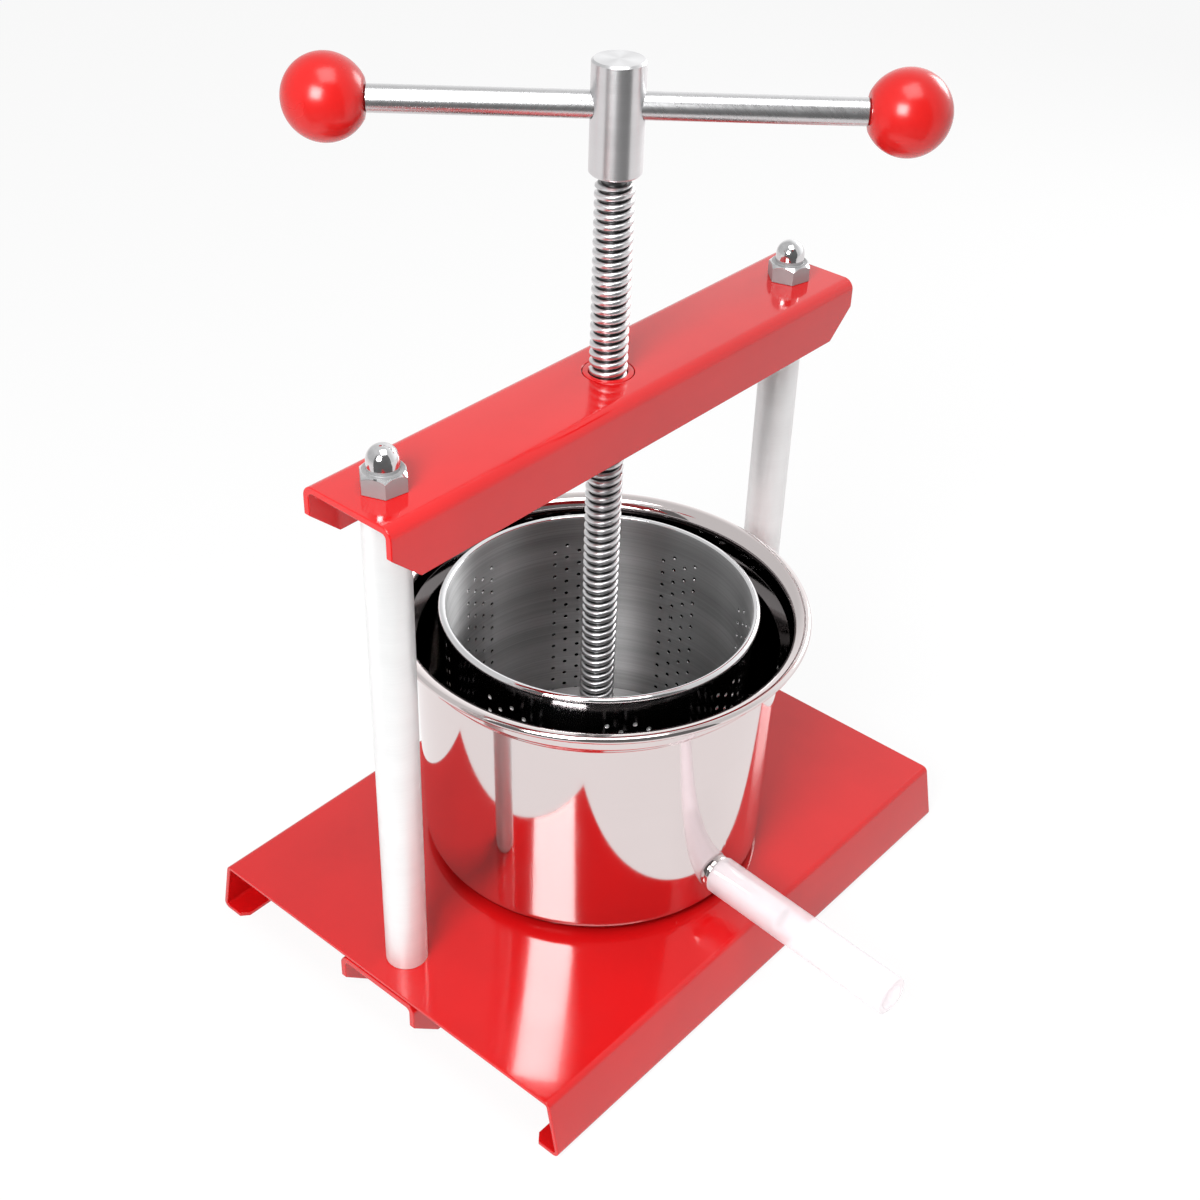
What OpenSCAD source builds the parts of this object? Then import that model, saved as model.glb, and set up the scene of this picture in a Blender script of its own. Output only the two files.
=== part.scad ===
/* [Base] */
// Width of the deck between its top bends
base_w = 205.5; // [190:0.5:260]
// Width across the feet, where flange and lip meet
foot_w = 220; // [210:1:280]
// Height of the deck above the bench
base_h = 30; // [26:0.5:60]
// Sheet thickness of the base
base_t = 2; // [1.5:0.1:3]
// Outer radius of the base's bends
base_bend_r = 3.2; // [3:0.1:5]
// Width of each foot lip
lip_w = 15; // [10:0.5:25]
// Corner cut off each end of a foot lip
lip_cut = 4; // [1:0.5:8]

/* [Beams] */
// Length of the two beams
beam_l = 289; // [255:1:340]
// Distance that a beam stands out beyond the deck's end
beam_proud = 0.5; // [0:0.5:5]
// Width of a beam over its flanges
beam_w = 47; // [40:0.5:60]
// Height of a beam's flanges
beam_h = 26; // [20:0.5:28]
// Sheet thickness of the beams
beam_t = 3; // [2:0.1:4]
// Outer radius of the beams' bends
beam_bend_r = 5; // [4.5:0.1:8]
// Length of the corner cut off each flange end
beam_cut_l = 14.5; // [6:0.5:20]
// Height of the corner cut off each flange end
beam_cut_h = 13; // [6:0.5:18]

/* [Columns] */
// Outer diameter of the columns
column_d = 18.6; // [16:0.1:24]
// Wall of the column tubes
column_wall = 2.2; // [1.5:0.1:3]
// Length of the columns
column_h = 242.5; // [230:0.5:320]
// Distance from a beam's end to the column's axis
column_inset = 19; // [15:0.5:22]

/* [Tie rods] */
// Diameter of the tie rods
rod_d = 10; // [8:0.5:11]
// Clearance of the rod holes, on the diameter
rod_hole_clear = 0.6; // [0.2:0.1:1]
// Width across the flats of the nuts
nut_af = 17; // [16:0.5:21]
// Height of the hexagon of the nuts
nut_h = 8; // [6:0.5:10]
// Overall height of a cap nut
cap_h = 18; // [16:0.5:24]
// Turn of the left cap nut's hexagon
cap_turn_left = 37; // [0:1:59]
// Turn of the right cap nut's hexagon
cap_turn_right = 30; // [0:1:59]
// Diameter of a cap nut's dome
dome_d = 12.8; // [12:0.1:15]
// Wall between a tie rod's end and the dome's top
cap_end_wall = 3.5; // [2:0.5:6]
// Diameter of the washers
washer_d = 20; // [18:0.5:26]
// Thickness of the washers
washer_t = 2; // [1:0.5:3]
// Length of tie rod below the hexagon nut
rod_tail = 3; // [0:0.5:8]

/* [Screw bush] */
// Outer diameter of the bush
bush_d = 21.5; // [20:0.5:28]
// Length of the bush below the beam's top face
bush_h = 25; // [15:0.5:25.5]
// Diameter of the collar under the beam's web
bush_collar_d = 32; // [29:0.5:38]
// Thickness of that collar
bush_collar_h = 4; // [2:0.5:8]
// Running clearance of screw and bush, on the radius
screw_fit = 0.05; // [0.02:0.01:0.1]

/* [Press screw] */
// Outer diameter of the screw
screw_d = 16; // [14:0.5:18]
// Height of the hub's underside above the top beam
screw_out = 85; // [40:1:120]
// Diameter of the neck below the hub
neck_d = 10.6; // [9:0.1:13]
// Height of the neck
neck_h = 3.6; // [2:0.1:8]
// Chamfer where the thread starts and ends
screw_cut = 1.5; // [0.5:0.1:2]

/* [Handle] */
// Diameter of the hub
hub_d = 21; // [19:0.5:30]
// Height of the hub
hub_h = 44; // [36:0.5:60]
// Chamfer round the hub's two ends
hub_cut = 0.8; // [0.2:0.1:2]
// Depth of the bar's axis below the hub's top
bar_drop = 17.5; // [10:0.5:22]
// Diameter of the bar
bar_d = 10.6; // [8:0.1:13]
// Slip clearance of the bar in the hub, on the radius
bar_clear = 0.35; // [0.1:0.05:0.6]
// Length of the bar between the knobs
bar_l = 188.5; // [150:0.5:260]
// Direction of the bar from the beams' line
bar_angle = -48.7; // [-90:0.1:90]
// Diameter of the studs at the bar's ends
stud_d = 8; // [5:0.5:8]
// Length of those studs
stud_l = 16; // [8:0.5:20]

/* [Knobs] */
// Diameter of the ball knobs
knob_d = 33.3; // [30:0.1:45]
// Distance from a ball's centre to its flat
knob_flat = 15; // [12:0.1:15]
// Space left beyond the stud's end
stud_space = 1; // [0.5:0.5:3]

/* [Press plate] */
// Gap round the plate in the basket
plate_gap = 0.8; // [0.4:0.1:3]
// Thickness of the plate
plate_t = 5; // [3:0.5:8]
// Height of the plate's underside above the deck
plate_z = 22; // [16:0.5:60]
// Radius of the plate's edge
plate_edge_r = 1.2; // [0.5:0.1:1.4]
// Diameter of the boss on the plate
boss_d = 28; // [26:0.5:34]
// Height of the boss
boss_h = 22; // [18:0.5:30]
// Thickness of the thrust disc
thrust_t = 1.5; // [1:0.1:3]
// Diameter of the groove at the screw's end
groove_d = 12; // [9:0.5:13]
// Height of that groove
groove_h = 6; // [6:0.5:7]
// Height of the screw's end below the groove
tip_h = 6; // [4:0.5:7]
// Diameter of the two retaining pins
pin_d = 5; // [4:0.5:5.5]
// Gap between a pin's end and the groove
pin_gap = 0.3; // [0.1:0.1:0.6]

/* [Basket] */
// Inner diameter of the basket
basket_d = 137.6; // [120:0.2:145]
// Sheet thickness of the basket
basket_t = 1; // [0.8:0.1:1.4]
// Height of the basket
basket_h = 129; // [100:1:150]
// Diameter of the basket's rolled rim
basket_bead_d = 3.6; // [3.4:0.1:4.2]
// Outer radius of the basket's bottom edge
basket_edge_r = 6; // [4:0.5:12]
// Diameter of the holes
hole_d = 2.1; // [1.5:0.1:3]
// Distance between holes in one column
hole_pitch = 7.1; // [5:0.1:12]
// Holes in one column
hole_rows = 14; // [4:1:14]
// Distance of the highest holes below the rim
hole_top = 16; // [8:0.5:17]
// Number of groups of columns round the wall
hole_groups = 8; // [4:1:12]
// Columns of holes in one group
hole_columns = 4; // [1:1:5]
// Angle between two columns
hole_step = 5; // [3:0.5:6]
// Angle of the first group's middle
hole_angle = 6.4; // [0:0.1:45]

/* [Pot] */
// Outer diameter of the pot's wall just above its bottom edge
pot_d = 161.8; // [158:0.2:175]
// Outer diameter of the wall below the step
pot_top_d = 166.8; // [164:0.2:180]
// Diameter over the rolled rim
pot_rim_d = 190.8; // [186:0.2:205]
// Height of the pot
pot_h = 128; // [100:1:150]
// Sheet thickness of the pot
pot_t = 1; // [0.8:0.1:1.5]
// Diameter of the pot's rolled rim
pot_bead_d = 6.4; // [4.5:0.1:7]
// Outer radius of the pot's bottom edge
pot_edge_r = 8.6; // [4:0.2:10]
// Slope angle in the middle of the step below the rim
step_angle = 50; // [30:1:60]

/* [Spout and hose] */
// Outer diameter of the spout
spout_d = 12.5; // [10:0.1:13]
// Wall of the spout
spout_wall = 1.5; // [0.8:0.1:2]
// Length of the spout outside the pot's wall
spout_l = 40; // [20:0.5:60]
// Height of the spout's axis above the deck
spout_z = 19.7; // [18:0.1:40]
// Direction of the spout from the beams' line
spout_angle = -94.8; // [-150:0.1:-30]
// Diameter of the ring round the spout
ring_d = 16.6; // [14:0.1:22]
// Distance that the ring stands out of the pot's wall
ring_out = 2; // [1:0.1:4]
// Outer diameter of the hose
hose_d = 17.7; // [16:0.1:20]
// Bore of the hose beyond the spout, which stretches it
hose_bore_d = 11.5; // [8:0.1:12]
// Room between the spout's end and the narrower bore
hose_room = 1; // [0.5:0.5:3]
// Length of the hose
hose_l = 100; // [70:1:160]

/* [Hidden] */
$fn = 72;
paint = [0.78, 0.1, 0.1];
steel = [0.8, 0.8, 0.82];
satin = [0.72, 0.73, 0.74];
brass = [0.8, 0.65, 0.3];
milky = [0.85, 0.85, 0.83];

// Cuts run this far past the faces that they open
past = 1;
// Width of the flat ring between a nut's chamfer and its flats
nut_edge = 0.3;
// Angle at which the pot's rolled rim ends, under the bead
roll_end = -110;
// Heights above the deck, which is the zero of the model
beam_top_z = column_h + beam_t;
lower_web_z = -base_t - beam_t;
nut_top_z = lower_web_z - washer_t;
cap_inner_z = beam_top_z + cap_h - cap_end_wall;
rod_low_z = nut_top_z - nut_h - rod_tail;
hub_z = beam_top_z + screw_out;
bar_z = hub_z + hub_h - bar_drop;
plate_top_z = plate_z + plate_t;
screw_low_z = plate_top_z + thrust_t;
groove_z = screw_low_z + tip_h;
pin_z = groove_z + groove_h / 2;
// Angle between the points along a sheet's bend
bend_step = 15;
// The deck and the columns keep their distances from the beams' ends
base_l = beam_l - 2 * beam_proud;
column_gap = beam_l - 2 * column_inset;
// Radii
rod_hole_r = (rod_d + rod_hole_clear) / 2;
bore_r = screw_d / 2 + screw_fit;
basket_in_r = basket_d / 2;
plate_r = basket_in_r - plate_gap;
// The basket stands on the pot's floor
basket_z = pot_t;
knob_centre = bar_l / 2 + knob_flat;
// Sideways growth of the base's flange for each millimetre down
splay = (foot_w - base_w) / 2 / base_h;
// Pot wall, its step and its rim
wall_slope = (pot_top_d - pot_d) / 2 / (pot_h - pot_edge_r);
rim_in_r = pot_rim_d / 2 - pot_bead_d;
step_out = rim_in_r + pot_t - pot_top_d / 2;
step_r = step_out / 2 / (1 - cos(step_angle));
step_h = 2 * step_r * sin(step_angle);
bead_z = pot_h - pot_bead_d / 2;
step_z = bead_z - step_h;
function wall_r(z) = pot_top_d / 2 - (step_z - z) * wall_slope;
spout_bore_r = spout_d / 2 - spout_wall;
// The ring's foot is set back far enough to close on the round wall
ring_seat = wall_r(spout_z) * (1 - cos(asin(ring_d / 2 / wall_r(spout_z))));

// Corner points of a base profile whose faces lie "inset" inside the outer faces
function base_corners(inset) = let (
    side = inset * sqrt(1 + splay * splay),
    top = -inset,
    low = -base_h + inset,
    top_y = base_w / 2 - top * splay - side,
    low_y = base_w / 2 - low * splay - side
) [[-low_y, low], [low_y, low], [top_y, top], [-top_y, top]];

function unit(v) = v / norm(v);

// A convex outline with round corners: the straight sides' ends and a circle in each corner
module round_corners(corners, r) {
    n = len(corners);
    ends = [for (i = [0:n - 1]) let (
        p = corners[i],
        back = unit(corners[(i + n - 1) % n] - p),
        ahead = unit(corners[(i + 1) % n] - p),
        half = acos(back * ahead) / 2
    ) each [p + back * r / tan(half), p + ahead * r / tan(half)]];
    polygon(ends);
    for (i = [0:n - 1]) {
        p = corners[i];
        back = unit(corners[(i + n - 1) % n] - p);
        ahead = unit(corners[(i + 1) % n] - p);
        half = acos(back * ahead) / 2;
        translate(p + unit(back + ahead) * r / sin(half)) circle(r);
    }
}

// Base section, drawn with Y across and Z up
module base_profile() {
    difference() {
        round_corners(base_corners(0), base_bend_r);
        round_corners(base_corners(base_t), base_bend_r - base_t);
        translate([-foot_w / 2 + lip_w, -base_h - past]) square([foot_w - 2 * lip_w, base_t + 2 * past]);
    }
}

module rod_holes(z, h) {
    for (side = [-1, 1])
        translate([side * column_gap / 2, 0, z]) cylinder(r = rod_hole_r, h = h);
}

// Corners cut off the foot lips, seen from above
module lip_corners() {
    for (x = [-1, 1], y = [-1, 1])
        scale([x, y, 1])
            translate([base_l / 2, foot_w / 2 - lip_w, -base_h - past])
                linear_extrude(base_t + 2 * past)
                    polygon([[past, -past], [past, lip_cut], [-lip_cut - past, -past]]);
}

module base_plate() {
    color(paint) difference() {
        translate([-base_l / 2, 0, 0]) rotate([90, 0, 90]) linear_extrude(base_l) base_profile();
        lip_corners();
        rod_holes(-base_t - past, base_t + 2 * past);
    }
}

// Beam section with its web's top face at zero, drawn with Y across and Z up
module beam_profile() {
    difference() {
        channel_fill(beam_w, beam_h, beam_bend_r);
        translate([0, -beam_t]) channel_fill(beam_w - 2 * beam_t, beam_h, beam_bend_r - beam_t);
    }
}

// Solid block with two rounded top corners and its top at zero
module channel_fill(w, h, r) {
    translate([-w / 2, -h]) square([w, h - r]);
    translate([-w / 2 + r, -h]) square([w - 2 * r, h]);
    for (side = [-1, 1])
        translate([side * (w / 2 - r), -r]) circle(r);
}

// A pressed beam with its web's top face at zero
module beam() {
    difference() {
        translate([-beam_l / 2, 0, 0]) rotate([90, 0, 90]) linear_extrude(beam_l) beam_profile();
        for (side = [-1, 1])
            scale([side, 1, 1])
                translate([beam_l / 2, beam_w / 2 + past, -beam_h])
                    rotate([90, 0, 0])
                        linear_extrude(beam_w + 2 * past)
                            polygon([[past, -past], [past, beam_cut_h * (1 + past / beam_cut_l)],
                                [-beam_cut_l * (1 + past / beam_cut_h), -past]]);
        rod_holes(-beam_t - past, beam_t + 2 * past);
    }
}

module lower_beam() {
    color(paint) translate([0, 0, -base_t]) beam();
}

module top_beam() {
    color(paint) translate([0, 0, beam_top_z]) difference() {
        beam();
        translate([0, 0, -beam_t - past]) cylinder(d = bush_d, h = beam_t + 2 * past);
    }
}

module screw_bush() {
    color(paint) difference() {
        union() {
            translate([0, 0, beam_top_z - bush_h]) cylinder(d = bush_d, h = bush_h);
            translate([0, 0, beam_top_z - beam_t - bush_collar_h]) cylinder(d = bush_collar_d, h = bush_collar_h);
        }
        translate([0, 0, beam_top_z - bush_h - past]) cylinder(r = bore_r, h = bush_h + 2 * past);
    }
}

module column() {
    color(satin) difference() {
        cylinder(d = column_d, h = column_h);
        translate([0, 0, -past]) cylinder(d = column_d - 2 * column_wall, h = column_h + 2 * past);
    }
}

module tie_rod() {
    color(steel) translate([0, 0, rod_low_z]) cylinder(d = rod_d, h = cap_inner_z - rod_low_z);
}

// Hexagon with its corner facing along X, chamfered at its top
module hexagon(h) {
    across = nut_af / cos(30);
    intersection() {
        cylinder(d = across, h = h, $fn = 6);
        rotate_extrude() polygon([[0, 0], [across / 2, 0], [across / 2, h - (across - nut_af) / 2 * tan(30)],
            [nut_af / 2 - nut_edge, h], [0, h]]);
    }
}

module cap_nut(turn) {
    color(steel) difference() {
        rotate([0, 0, turn]) union() {
            hexagon(nut_h);
            cylinder(d = dome_d, h = cap_h - dome_d / 2);
            translate([0, 0, cap_h - dome_d / 2]) sphere(d = dome_d);
        }
        translate([0, 0, -past]) cylinder(d = rod_d, h = cap_h - cap_end_wall + past);
    }
}

module washer() {
    color(steel) translate([0, 0, lower_web_z - washer_t]) difference() {
        cylinder(d = washer_d, h = washer_t);
        translate([0, 0, -past]) cylinder(r = rod_hole_r, h = washer_t + 2 * past);
    }
}

module hex_nut() {
    color(steel) translate([0, 0, nut_top_z]) mirror([0, 0, 1]) difference() {
        hexagon(nut_h);
        translate([0, 0, -past]) cylinder(d = rod_d, h = nut_h + 2 * past);
    }
}

module at_left() {
    translate([-column_gap / 2, 0, 0]) children();
}

module at_right() {
    translate([column_gap / 2, 0, 0]) children();
}

module press_plate() {
    color(steel) translate([0, 0, plate_z]) rotate_extrude() {
        square([plate_r - plate_edge_r, plate_t]);
        translate([0, plate_edge_r]) square([plate_r, plate_t - 2 * plate_edge_r]);
        for (z = [plate_edge_r, plate_t - plate_edge_r])
            translate([plate_r - plate_edge_r, z]) circle(plate_edge_r);
    }
}

// Radial holes for the pins, through the boss's wall
module pin_shape(from_r, to_r) {
    for (side = [0, 180])
        rotate([0, 0, side]) translate([from_r, 0, pin_z]) rotate([0, 90, 0]) cylinder(d = pin_d, h = to_r - from_r);
}

module plate_boss() {
    color(steel) difference() {
        translate([0, 0, plate_top_z]) cylinder(d = boss_d, h = boss_h);
        translate([0, 0, plate_top_z - past]) cylinder(r = bore_r, h = boss_h + 2 * past);
        pin_shape(0, boss_d / 2 + past);
    }
}

module boss_pins() {
    color(steel) intersection() {
        pin_shape(groove_d / 2 + pin_gap, boss_d / 2 + past);
        translate([0, 0, plate_top_z]) cylinder(d = boss_d, h = boss_h);
    }
}

module thrust_disc() {
    color(brass) translate([0, 0, plate_top_z]) cylinder(d = screw_d, h = thrust_t);
}

module press_screw() {
    r = screw_d / 2;
    color(steel) rotate_extrude() polygon([
        [0, screw_low_z], [r - screw_cut, screw_low_z], [r, screw_low_z + screw_cut],
        [r, groove_z], [groove_d / 2, groove_z],
        [groove_d / 2, groove_z + groove_h], [r, groove_z + groove_h],
        [r, hub_z - neck_h - screw_cut], [r - screw_cut, hub_z - neck_h],
        [neck_d / 2, hub_z - neck_h], [neck_d / 2, hub_z], [0, hub_z]]);
}

module handle_hub() {
    r = hub_d / 2;
    color(steel) difference() {
        translate([0, 0, hub_z]) rotate_extrude() polygon([[0, 0], [r - hub_cut, 0], [r, hub_cut],
            [r, hub_h - hub_cut], [r - hub_cut, hub_h], [0, hub_h]]);
        along_bar() cylinder(r = bar_d / 2 + bar_clear, h = hub_d + 2 * past, center = true);
    }
}

// Places its children with their Z along the bar, from the screw's axis towards the right knob
module along_bar() {
    translate([0, 0, bar_z]) rotate([0, 90, bar_angle]) children();
}

module handle_bar() {
    color(steel) along_bar() {
        cylinder(d = bar_d, h = bar_l, center = true);
        cylinder(d = stud_d, h = bar_l + 2 * stud_l, center = true);
    }
}

// Ball knob with its flat at zero, facing -Z
module knob() {
    color(paint) difference() {
        translate([0, 0, knob_flat]) sphere(d = knob_d);
        translate([0, 0, -knob_d]) cylinder(d = knob_d, h = knob_d);
        translate([0, 0, -past]) cylinder(d = stud_d, h = stud_l + stud_space + past);
    }
}

module knob_left() {
    along_bar() rotate([180, 0, 0]) translate([0, 0, bar_l / 2]) knob();
}

module knob_right() {
    along_bar() translate([0, 0, bar_l / 2]) knob();
}

// Points along one flank of a bent sheet, "off" to the left of its middle line.
// Each bend is [centre, middle radius, first angle, last angle], and straight sheet joins the bends.
function flank(bends, off) = [for (bend = bends) let (
    steps = ceil(abs(bend[3] - bend[2]) / bend_step),
    r = bend[1] + (bend[3] < bend[2] ? off : -off)
) each [for (i = [0:steps]) let (a = bend[2] + (bend[3] - bend[2]) * i / steps)
    bend[0] + r * [cos(a), sin(a)]]];

function reversed(points) = [for (i = [len(points) - 1:-1:0]) points[i]];

// A vessel spun from one sheet: its floor, then the bends of its wall and rim
module spun_sheet(bends, t) {
    rotate_extrude() polygon(concat([[0, t]], flank(bends, t / 2), reversed(flank(bends, -t / 2)), [[0, 0]]));
}

// Bottom bend, and the rim rolled outward
function basket_bends() = [
    [[basket_in_r + basket_t - basket_edge_r, basket_edge_r], basket_edge_r - basket_t / 2, -90, 0],
    [[basket_in_r + basket_bead_d / 2, basket_h - basket_bead_d / 2], (basket_bead_d - basket_t) / 2, 180, -90]
];

// Columns of holes: every second column sits half a pitch lower
module perforations() {
    for (group = [0:hole_groups - 1], column = [0:hole_columns - 1], row = [0:hole_rows - 1]) {
        angle = hole_angle + group * 360 / hole_groups + (column - (hole_columns - 1) / 2) * hole_step;
        drop = hole_top + (row + (column % 2) / 2) * hole_pitch;
        translate([0, 0, basket_h - drop]) rotate([0, 90, angle])
            translate([0, 0, basket_in_r - past]) cylinder(d = hole_d, h = basket_t + 2 * past);
    }
}

module basket() {
    color(steel) translate([0, 0, basket_z]) difference() {
        spun_sheet(basket_bends(), basket_t);
        perforations();
    }
}

// Bottom bend, the step's two bends and the rim rolled outward
function pot_bends() = [
    [[wall_r(pot_edge_r) - pot_edge_r, pot_edge_r], pot_edge_r - pot_t / 2, -90, 0],
    [[(pot_top_d - pot_t) / 2 + step_r, step_z], step_r, 180, 180 - step_angle],
    [[rim_in_r + pot_t / 2 - step_r, bead_z], step_r, -step_angle, 0],
    [[rim_in_r + pot_bead_d / 2, bead_z], (pot_bead_d - pot_t) / 2, 180, roll_end]
];

// Places its children with their Z along the spout, from the pot's axis outward
module along_spout() {
    translate([0, 0, spout_z]) rotate([0, 90, spout_angle]) children();
}

module pot() {
    color(steel) difference() {
        spun_sheet(pot_bends(), pot_t);
        along_spout() cylinder(r = spout_bore_r, h = pot_rim_d);
    }
}

// The spout's foot is round like the wall that it is welded to
module spout() {
    face = wall_r(spout_z);
    color(steel) difference() {
        along_spout() difference() {
            union() {
                translate([0, 0, face - ring_seat]) cylinder(d = spout_d, h = spout_l + ring_seat);
                translate([0, 0, face - ring_seat]) cylinder(d = ring_d, h = ring_seat + ring_out);
            }
            cylinder(r = spout_bore_r, h = pot_rim_d);
        }
        cylinder(r1 = wall_r(0), r2 = wall_r(2 * spout_z), h = 2 * spout_z);
    }
}

module drain_hose() {
    color(milky) along_spout() translate([0, 0, wall_r(spout_z) + ring_out]) difference() {
        cylinder(d = hose_d, h = hose_l);
        translate([0, 0, -past]) cylinder(d = spout_d, h = spout_l - ring_out + hose_room + past);
        cylinder(d = hose_bore_d, h = hose_l + past);
    }
}

base_plate();
lower_beam();
top_beam();
screw_bush();
at_left() column();  // column_left
at_right() column();  // column_right
at_left() tie_rod();  // tie_rod_left
at_right() tie_rod();  // tie_rod_right
at_left() translate([0, 0, beam_top_z]) cap_nut(cap_turn_left);  // cap_nut_left
at_right() translate([0, 0, beam_top_z]) cap_nut(cap_turn_right);  // cap_nut_right
at_left() washer();  // washer_left
at_right() washer();  // washer_right
at_left() hex_nut();  // hex_nut_left
at_right() hex_nut();  // hex_nut_right
press_plate();
plate_boss();
boss_pins();
thrust_disc();
press_screw();
handle_hub();
handle_bar();
knob_left();
knob_right();
pot();
spout();
drain_hose();
basket();
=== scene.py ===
"""Looks of a tabletop fruit press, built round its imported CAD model.

Lengths in this file are millimetres until a mesh is made. Zero is the middle of the deck's top face,
Z points up along the screw, X along the beams to the right column and Y to the back.
"""

import math

import bmesh
import bpy
import numpy as np
from mathutils import Matrix, Vector


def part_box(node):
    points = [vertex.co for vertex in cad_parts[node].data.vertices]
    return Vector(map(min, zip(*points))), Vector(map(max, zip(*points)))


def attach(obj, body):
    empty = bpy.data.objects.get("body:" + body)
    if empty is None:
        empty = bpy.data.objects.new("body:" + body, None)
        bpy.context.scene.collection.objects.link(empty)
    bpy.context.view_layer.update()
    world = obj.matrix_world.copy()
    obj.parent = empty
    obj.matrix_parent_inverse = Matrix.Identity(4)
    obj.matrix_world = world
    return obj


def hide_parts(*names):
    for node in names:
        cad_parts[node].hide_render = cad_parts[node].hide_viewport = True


bl_info = {
    "name": "Fruit press",
    "version": (1, 0, 0),
    "blender": (4, 5, 0),
    "location": "View3D > Sidebar > Fruit press",
    "description": "Builds the surfaces and finishes of a tabletop fruit press",
    "category": "Add Mesh",
}

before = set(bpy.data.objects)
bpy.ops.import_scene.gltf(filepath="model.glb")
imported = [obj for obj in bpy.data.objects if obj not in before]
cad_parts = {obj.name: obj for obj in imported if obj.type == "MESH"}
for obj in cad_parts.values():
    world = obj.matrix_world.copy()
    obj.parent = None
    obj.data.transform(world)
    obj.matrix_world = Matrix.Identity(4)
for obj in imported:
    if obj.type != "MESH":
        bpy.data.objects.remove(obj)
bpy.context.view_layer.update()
MM = 0.001


def span(part):
    """Lowest and highest corner of a CAD node, in millimetres."""
    low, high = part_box(part)
    return np.array(low) / MM, np.array(high) / MM


BASE_LOW, BASE_HIGH = span("base_plate")
BEAM_LOW, BEAM_HIGH = span("top_beam")
COLUMN_LOW, COLUMN_HIGH = span("column_right")
BUSH_LOW, BUSH_HIGH = span("screw_bush")
SCREW_LOW, SCREW_HIGH = span("press_screw")
HUB_LOW, HUB_HIGH = span("handle_hub")
PLATE_LOW, PLATE_HIGH = span("press_plate")
BASKET_LOW, BASKET_HIGH = span("basket")
POT_LOW, POT_HIGH = span("pot")
COLUMN_X = float(COLUMN_LOW[0] + COLUMN_HIGH[0]) / 2
SIDES = (("left", -1), ("right", 1))

# How far the pressings' middle rings stand from their ends, and the cut at a foot lip's corner
BASE_INSET, BEAM_INSET = 16, 24
LIP_CUT, LIP_CUT_SLOPE = 19 / 6, 1.2
# Turn of each cap nut, in degrees, the screw's room in its bush and the thickness of the bush's collar
NUT_TURNS = (51, 47)
SCREW_ROOM, BUSH_COLLAR = 0.05, 4
# The bar's height under the hub's top, its direction in degrees, its room in the hub, and its studs
BAR_Z, BAR_ANGLE, BAR_ROOM = float(HUB_HIGH[2]) - 17.5, -48.7, 0.35
STUD_R, STUD_LONG = 4, 16
# The basket's bottom bend and grid steps, its holes, and the grid cells and points that each hole takes
BASKET_EDGE, BASKET_STEPS = 6.0, 288
HOLE_TOP, HOLE_PITCH, HOLE_ROWS = 16.0, 7.1, 14
HOLE_GROUPS, HOLE_COLUMNS, HOLE_STEP, HOLE_FIRST = 8, 4, 5.0, 6.4
CELL = 4
HOLE_POINTS = 4 * CELL
# The pot's wall at bottom and top, its bottom bend, its shoulder under the rim and the step's tilt in degrees
POT_LOW_R, POT_TOP_R, POT_EDGE, POT_SHOULDER, STEP_TILT = 80.9, 83.4, 8.6, 10.9, 42.0
# The spout's height, its direction in degrees, and how far its ring and its end stand out of the wall
SPOUT_Z, SPOUT_ANGLE, SPOUT_RING_HIGH, SPOUT_OUT = 19.7, -94.8, 2, 40
# The photograph's camera in degrees and millimetres, the bright side of the surround and what the lights aim at
PHOTO_HEADING, PHOTO_PITCH, PHOTO_ROLL = 39.825, 35.452, 2.094
PHOTO_PLACE, PHOTO_LENS = (-489.70, -408.50, 583.76), 52.257
BRIGHT_HEADING = 5.0
LIT_POINT, FLOOR_HALF = (0, 0, 120), 4000
WHITE = (1, 1, 1, 1)
# Colour and roughness of polished metal, the share of a metal's brightness in the thread's grooves and inside the pot,
# both painted shade, and the depth over which the grooves' painted shade comes on
POLISHED, POLISHED_ROUGHNESS = (0.78, 0.78, 0.79, 1), 0.07
PAINTED_GROOVE_SHADE, PAINTED_POT_SHADE, GROOVE_SHADE_EDGE = 0.2, 0.22, 0.8


# Sizes and colours that a user would change


def length(label, words, value):
    """A length property, kept in metres and given in millimetres."""
    return bpy.props.FloatProperty(name=label, description=words, default=value * MM, min=0, unit="LENGTH", precision=5)


def colour(label, words, value):
    """A colour property."""
    return bpy.props.FloatVectorProperty(
        name=label, description=words, default=value, size=3, min=0, max=1, subtype="COLOR_GAMMA"
    )


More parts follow.
